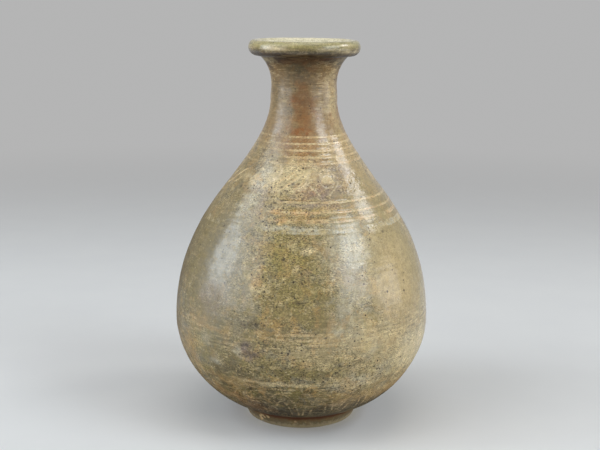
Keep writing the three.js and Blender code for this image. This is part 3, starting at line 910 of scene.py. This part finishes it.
def glaze_colour(s):
    """The glaze's colour before slip, pinholes and crackle."""
    drift = s.times(s.plus(s.noise(30, 4, 0.6, warp=0.6), -0.5), s.remap(s.z, 8, 50, 4, 26))
    height = s.math("DIVIDE", s.plus(s.z, drift), TOP)
    stops = [(h / TOP, srgb(*rgb)) for h, rgb in HEIGHT_TONES]
    colour = s.ramp(height, stops)
    colour = s.mix(s.remap(s.z, 262, 268), colour, s.ramp(s.math("DIVIDE", s.z, TOP), stops))
    # Clouds are fainter on the neck and lip
    even = s.remap(s.weight("even"), 0, 1, 1, 0.22)
    calm = s.times(even, s.remap(s.z, 208, 226, 1, 0.25))
    for size, rough, offset, warp, start, end, strength, laid in CLOUDS:
        cloud = s.remap(s.noise(size, 6, rough, s.shift(offset), warp), start, end)
        colour = s.mix(s.times(cloud, s.times(calm, strength)), colour, laid)
    # Turning marks run round the pot
    reach = s.math("SQRT", s.plus(s.plus(s.times(s.x, s.x), s.times(s.y, s.y)), 1.0))
    join = s.new("CombineXYZ")
    length = s.remap(s.z, 205, 235, 9, 3.5)
    s.link(s.times(s.math("DIVIDE", s.x, reach), length), join.inputs[0])
    s.link(s.times(s.math("DIVIDE", s.y, reach), length), join.inputs[1])
    s.link(s.z, join.inputs[2])
    turning = s.noise(1.3, 4, 0.7, join.outputs[0], 0.1)
    marked = s.plus(s.plus(s.times(s.remap(s.z, 110, 70), 0.2), s.times(s.remap(s.z, 222, 245), 0.2)), 0.2)
    marked = s.plus(marked, s.times(s.weight("brushed"), 0.75))
    colour = s.mix(s.times(s.remap(turning, 0.53, 0.62), marked), colour, srgb(194, 171, 128))
    colour = s.mix(s.times(s.remap(turning, 0.46, 0.38), marked), colour, srgb(80, 72, 50))
    # Tones laid at their places
    for tone, laid in LAID:
        if tone == "white":
            share = s.remap(s.weight(tone), 0.15, 0.75, 0, 0.8)
        else:
            broken = s.remap(s.noise(3.2, 5, 0.75, s.shift((len(tone) * 9, 2, 7)), 0.6), 0.38, 0.58, 0.45, 1)
            share = s.math("MULTIPLY", s.weight(tone), s.times(broken, 1.25), True)
        colour = s.mix(share, colour, laid)
    # Painted shade where the glaze is dull, darkest on the left side
    colour = s.mix(s.remap(s.weight("dull"), 0.35, 1.0, 0, 0.5), colour, srgb(70, 52, 18))
    # Grain of the clay under the glaze
    rough = s.times(s.weight("pitted"), 0.2)
    coarse = s.remap(s.plus(s.noise(14, 3, 0.6, s.shift((60, 6, 16))), rough), 0.45, 0.62, 0.25, 1)
    coarse = s.times(s.times(coarse, even), s.remap(s.z, 205, 222, 1, 0.45))
    flat = s.vector("MULTIPLY", s.place, (0.5, 0.5, 1.0))
    grain = s.times(s.plus(s.noise(0.75, 2, 0.9, flat), -0.5), s.times(coarse, 3.9))
    colour = s.mix(1.0, colour, s.grey(s.plus(grain, 1)), "MULTIPLY")
    grain = s.remap(s.noise(6, 8, 0.9, s.shift((21, 5, 6)), 0.3), 0.4, 0.6, 0.82, 1.16)
    colour = s.mix(even, colour, s.grey(grain), "MULTIPLY")
    flecks = s.remap(s.noise(1.1, 1, 0.6, s.vector("ADD", flat, (3, 44, 8))), 0.58, 0.66)
    flecks = s.times(flecks, s.remap(s.noise(11, 3, 0.6, s.shift((53, 4, 18))), 0.45, 0.58, 0.15, 1))
    colour = s.mix(s.times(flecks, s.times(coarse, 0.5)), colour, CREAM)
    rust = s.remap(s.noise(2.4, 2, 0.7, s.shift((93, 4, 18))), 0.6, 0.68)
    colour = s.mix(s.times(rust, s.times(calm, 0.38)), colour, OCHRE)
    # The lip's inner slope, pale: painted light from above
    inner = s.times(s.remap(reach, 37.2, 35.8), s.remap(s.z, 273, 275))
    inner = s.times(inner, s.remap(s.noise(7, 4, 0.7), 0.4, 0.55, 0.6, 1))
    colour = s.mix(inner, colour, srgb(232, 222, 190))
    # Painted shade, dark under the lip and low over the foot
    painted_shade = s.times(s.remap(s.z, 262, 268), s.remap(s.z, 273, 271))
    colour = s.mix(s.times(painted_shade, 0.6), colour, srgb(44, 22, 6))
    painted_shade = s.times(s.remap(s.z, 36, 20), s.remap(s.z, 9, 12))
    return s.mix(s.times(painted_shade, 0.4), colour, srgb(36, 28, 16))


# Pinholes: size of the cells that hold one each, and a hole's reach as a share of its cell
PINHOLES = [(1.5, 0.3), (2.4, 0.29), (4.2, 0.21), (9.5, 0.12)]


def pinholes(s):
    """Burst bubbles, from about 0.5 to 3 mm across, thick in some places and scarce in others."""
    crowd = s.remap(s.noise(26, 3, 0.6, s.shift((9, 9, 77))), 0.45, 0.62, 0.48, 0.6)
    crowd = s.math("MAXIMUM", crowd, s.times(s.weight("pitted"), 1.15))
    total = None
    for size, reach in PINHOLES:
        place = s.shift((size * 5, size, 3))
        gap = s.cells(size, vector=place)
        pick = s.new("SeparateColor")
        s.link(s.cells(size, vector=place, output="Color"), pick.inputs[0])
        chosen = s.math("GREATER_THAN", s.times(pick.outputs[0], crowd), 0.5)
        radius = s.plus(s.times(pick.outputs[1], reach * 0.8), reach * 0.5)
        depth = s.times(chosen, s.remap(pick.outputs[2], 0, 0.6, 0.5, 1))
        hole = s.times(s.remap(gap, radius, s.times(radius, 0.65)), depth)
        total = hole if total is None else s.math("MAXIMUM", total, hole)
    return total


def glaze(name, kind, laid=None, coat_roughness=0.2):
    """The glaze over clay, over slip of the laid colour, or worn thin on the foot."""
    s = Surface(name)
    colour = glaze_colour(s)
    if kind == "slip":
        ragged = s.times(s.plus(s.noise(3.2, 5, 0.8, s.shift((8, 1, 60)), 0.8), -0.5), 2.4)
        kept = s.remap(s.plus(s.weight("wear"), ragged), 0.85, 0.1)
        dirty = s.remap(s.noise(1.4, 3, 0.8, s.shift((2, 2, 2))), 0.38, 0.62, 0.55, 1)
        tinted = s.remap(s.noise(6, 4, 0.7, s.shift((6, 66, 6))), 0.42, 0.6)
        colour = s.mix(s.times(kept, dirty), colour, s.mix(tinted, laid, srgb(222, 200, 152)))
    specks = s.cells(3.4, vector=s.shift((71, 12, 33)))
    specks = s.times(s.remap(specks, 0.17, 0.09), s.remap(s.noise(9, 3, 0.7, s.shift((14, 14, 2))), 0.5, 0.6))
    specks = s.times(specks, s.remap(s.z, 205, 222, 0.35, 0.15))
    colour = s.mix(specks, colour, srgb(228, 216, 178))
    holes = pinholes(s)
    colour = s.mix(s.times(holes, 0.9), colour, STAIN)
    bent = s.vector("ADD", s.place, s.grey(s.noise(1.5, 2)))
    crackle = s.remap(s.cells(2.1, "DISTANCE_TO_EDGE", bent), 0.045, 0.0)
    colour = s.mix(s.times(crackle, 0.4), colour, DARK)
    colour = s.mix(s.times(s.weight("stain"), 0.9), colour, STAIN)
    if kind == "foot":
        worn = s.remap(s.noise(7, 5, 0.7, s.shift((3, 30, 3))), 0.36, 0.6, 0.35, 0.95)
        colour = s.mix(worn, colour, srgb(114, 102, 76))
        uneven = s.plus(s.z, s.times(s.plus(s.noise(3, 5, 0.7), -0.5), 9))
        colour = s.mix(s.remap(uneven, 4.5, 8.5, 0, 0.6), colour, srgb(120, 84, 46))
        colour = s.mix(s.remap(uneven, 5.0, 1.4, 0, 0.85), colour, srgb(172, 158, 124))
        # Painted shade: the foot darker on its left side
        colour = s.mix(s.remap(s.x, -8, -30, 0, 0.4), colour, srgb(60, 44, 26))
        colour = s.mix(s.times(s.weight("ochre"), 0.85), colour, srgb(214, 182, 134))
    # Painted shade, dark in the crease over the foot
    off = s.math("ABSOLUTE", s.plus(s.z, s.plus(s.times(s.noise(6, 3), 2), -FOOT_HEIGHT - 1.6)))
    colour = s.mix(s.times(s.remap(off, 4.4, 1.6), 0.9), colour, srgb(80, 44, 22))
    s.link(colour, s.shader.inputs["Base Color"])
    # Gloss, duller low down, in the holes and where the glaze is worn
    dull = s.remap(s.noise(12, 4, 0.65, s.shift((1, 7, 90))), 0.38, 0.62, 0.3, 0.42)
    dull = s.plus(dull, s.plus(s.remap(s.z, 70, 20, 0, 0.35), s.times(s.weight("dull"), 0.4)))
    dull = s.plus(dull, s.remap(s.z, 270, 274, 0, -0.15))
    s.link(s.math("ADD", dull, s.times(holes, 0.3), True), s.shader.inputs["Roughness"])
    s.shader.inputs["Specular IOR Level"].default_value = 0.18
    s.shader.inputs["Coat Roughness"].default_value = coat_roughness
    s.shader.inputs["Coat IOR"].default_value = 1.6
    if kind == "foot":
        s.shader.inputs["Coat Weight"].default_value = 0.1
    else:
        glassy = s.remap(s.plus(s.z, s.times(s.plus(s.noise(12, 3), -0.5), 50)), 36, 95, 0.02, 0.85)
        under = s.times(s.remap(s.z, 250, 262), s.remap(s.z, 273, 270))
        glassy = s.times(glassy, s.rest(under))
        glassy = s.times(glassy, s.remap(s.z, 212, 230, 1, s.remap(s.z, 262, 272, 0.8, 1)))
        glassy = s.times(glassy, s.rest(s.times(s.weight("dull"), 0.95)))
        patchy = s.remap(s.noise(5, 4, 0.7, s.shift((4, 4, 50))), 0.36, 0.56, 0.6, 1)
        s.link(s.times(glassy, patchy), s.shader.inputs["Coat Weight"])
    # Fine relief
    fine = s.plus(s.times(s.noise(0.9, 3, 0.7), 0.17), s.times(s.noise(3.0, 3, 0.6), 0.3))
    fine = s.plus(fine, s.times(s.noise(8.0, 3, 0.6), 0.55))
    fine = s.times(fine, s.remap(s.z, 262, 272, 1, 0.35))
    fine = s.plus(fine, s.times(holes, -0.22))
    fine = s.plus(fine, s.times(crackle, -0.02))
    bump = s.new("Bump")
    bump.inputs["Strength"].default_value = 0.6
    bump.inputs["Distance"].default_value = MM
    s.link(fine, bump.inputs["Height"])
    s.link(bump.outputs[0], s.shader.inputs["Normal"])
    return s.material


BODY = glaze("olive_glaze", "body")
NECK = glaze("neck_glaze", "body", coat_roughness=0.24)
SLIP = glaze("cream_slip", "slip", srgb(214, 180, 130))
PEACH_SLIP = glaze("peach_slip", "slip", srgb(216, 177, 128))
COLD_SLIP = glaze("cold_slip", "slip", srgb(190, 186, 166))
FOOT = glaze("foot_clay_and_glaze", "foot")

finish(lower_body(), BODY, "lower_body")
finish(upper_body(), BODY, "upper_body")
finish(neck_and_lip(), NECK, "neck_and_lip")
finish(foot_ring(), FOOT, "foot_ring")
SLIPS = {"shoulder_line_2": PEACH_SLIP, "shoulder_band_upper": PEACH_SLIP, "shoulder_band_lower": COLD_SLIP}
for line in LINES:
    finish(line_piece(line), SLIPS.get(line, SLIP), line)
for stroke in STROKES:
    finish(stroke_piece(stroke), SLIP, stroke)
for number in range(FLOWERS):
    finish(flower_piece(number), SLIP, f"flower_{number + 1}")


# Studio
def softbox(name, bearing, elevation, width, height, radiance, colour, distance=1.5):
    """A soft lamp that faces the middle of the bottle; bearing 0 is in front, positive to the right."""
    lamp = bpy.data.lights.new(name, "AREA")
    lamp.shape = "RECTANGLE"
    lamp.size, lamp.size_y = width, height
    lamp.energy = radiance * math.pi * width * height
    lamp.color = colour
    holder = bpy.data.objects.new(name, lamp)
    turn, rise = math.radians(bearing), math.radians(elevation)
    target = Vector((0, 0, 0.14))
    holder.location = target + distance * Vector(
        (math.sin(turn) * math.cos(rise), -math.cos(turn) * math.cos(rise), math.sin(rise))
    )
    holder.rotation_euler = (target - holder.location).to_track_quat("-Z", "Y").to_euler()
    bpy.context.scene.collection.objects.link(holder)


softbox("left_window", -86, 20, 0.66, 0.7, 5.3, (0.86, 0.94, 1.0))
softbox("left_window_top", -88, 43, 0.6, 0.5, 2.3, (0.9, 0.95, 1.0))
softbox("left_window_low", -86, 0, 0.8, 0.3, 1.8, (0.92, 0.95, 1.0))
softbox("left_curtain", -58, 16, 0.9, 1.0, 2.2, (0.94, 0.97, 1.0))
softbox("left_curtain_top", -60, 46, 0.7, 0.5, 1.9, (0.94, 0.97, 1.0))
softbox("right_window", 60, 36, 0.62, 0.6, 6.2, (0.87, 0.95, 1.0))
softbox("right_window_low", 52, 19, 0.6, 0.4, 2.4, (0.9, 0.94, 1.0))
softbox("right_glint", 58, 8, 0.3, 0.3, 4.0, (1.0, 1.0, 1.0))
softbox("right_curtain", 38, 14, 0.5, 0.9, 1.5, (0.97, 0.99, 1.0))
softbox("right_side_window", 101, 37, 0.44, 0.38, 6.5, (0.97, 0.98, 1.0))
softbox("right_side_curtain", 84, 3, 0.8, 0.6, 2.3, (1.0, 0.99, 0.97))
softbox("overhead", 0, 86, 1.4, 1.4, 1.25, (1.0, 0.99, 0.97), 1.7)


def seen_rays(tree):
    """1 for rays from the camera and those mirrored or let through; 0 for light that falls on things."""
    path = tree.nodes.new("ShaderNodeLightPath")
    seen = path.outputs["Is Camera Ray"]
    for ray in ("Is Glossy Ray", "Is Transmission Ray"):
        node = tree.nodes.new("ShaderNodeMath")
        node.operation = "MAXIMUM"
        tree.links.new(seen, node.inputs[0])
        tree.links.new(path.outputs[ray], node.inputs[1])
        seen = node.outputs[0]
    return seen


# A backdrop that is paler to the eye than the light that it gives
BACKDROP = 0.46
FILL = 0.1
world = bpy.data.worlds.new("studio")
bpy.context.scene.world = world
world.use_nodes = True
air = world.node_tree
air.nodes.clear()
sky = air.nodes.new("ShaderNodeBackground")
level = air.nodes.new("ShaderNodeMapRange")
air.links.new(seen_rays(air), level.inputs[0])
level.inputs[3].default_value = FILL
level.inputs[4].default_value = BACKDROP
air.links.new(level.outputs[0], sky.inputs["Strength"])
sky.inputs["Color"].default_value = (1, 1, 1, 1)
air.links.new(sky.outputs[0], air.nodes.new("ShaderNodeOutputWorld").inputs[0])

# A pale floor that melts into the backdrop far out
FLOOR_RADIUS = 30
FLOOR_CORNERS = 64
floor_mesh = bpy.data.meshes.new("floor")
turns = np.linspace(0, TURN, FLOOR_CORNERS, endpoint=False)
corners = [(FLOOR_RADIUS * math.cos(turn), FLOOR_RADIUS * math.sin(turn), 0) for turn in turns]
floor_mesh.from_pydata(corners, [], [list(range(FLOOR_CORNERS))])
floor = bpy.data.objects.new("floor", floor_mesh)
bpy.context.scene.collection.objects.link(floor)
paper = Surface("pale_paper")
paper.link(
    paper.mix(paper.noise(60, 3), (0.76, 0.76, 0.76, 1), (0.8, 0.8, 0.79, 1)), paper.shader.inputs["Base Color"]
)
paper.shader.inputs["Roughness"].default_value = 0.9
paper.shader.inputs["Specular IOR Level"].default_value = 0.1
glow = paper.new("Emission")
glow.inputs["Color"].default_value = (1, 1, 1, 1)
glow.inputs["Strength"].default_value = BACKDROP
away = paper.math("SQRT", paper.plus(paper.times(paper.x, paper.x), paper.times(paper.y, paper.y)))
blend = paper.new("MixShader")
paper.link(paper.times(seen_rays(paper.tree), paper.remap(away, 350, 1500)), blend.inputs[0])
paper.link(paper.shader.outputs[0], blend.inputs[1])
paper.link(glow.outputs[0], blend.inputs[2])
paper.link(blend.outputs[0], paper.output.inputs["Surface"])
floor_mesh.materials.append(paper.material)

# The camera that was fitted to the photo's outline, in metres and degrees
CAMERA_PLACE = (-0.0019, -0.7756, 0.3136)
CAMERA_DOWN, CAMERA_ROLL = 12.335, 0.555
camera = bpy.data.objects.new("camera", bpy.data.cameras.new("camera"))
camera.data.lens = 64.09
camera.data.sensor_width = 36
camera.data.sensor_fit = "HORIZONTAL"
tilt = Matrix.Rotation(math.radians(90 - CAMERA_DOWN), 4, "X") @ Matrix.Rotation(math.radians(CAMERA_ROLL), 4, "Z")
camera.matrix_world = Matrix.Translation(CAMERA_PLACE) @ tilt
bpy.context.scene.collection.objects.link(camera)
bpy.context.scene.camera = camera
bpy.context.scene.view_settings.view_transform = "Standard"
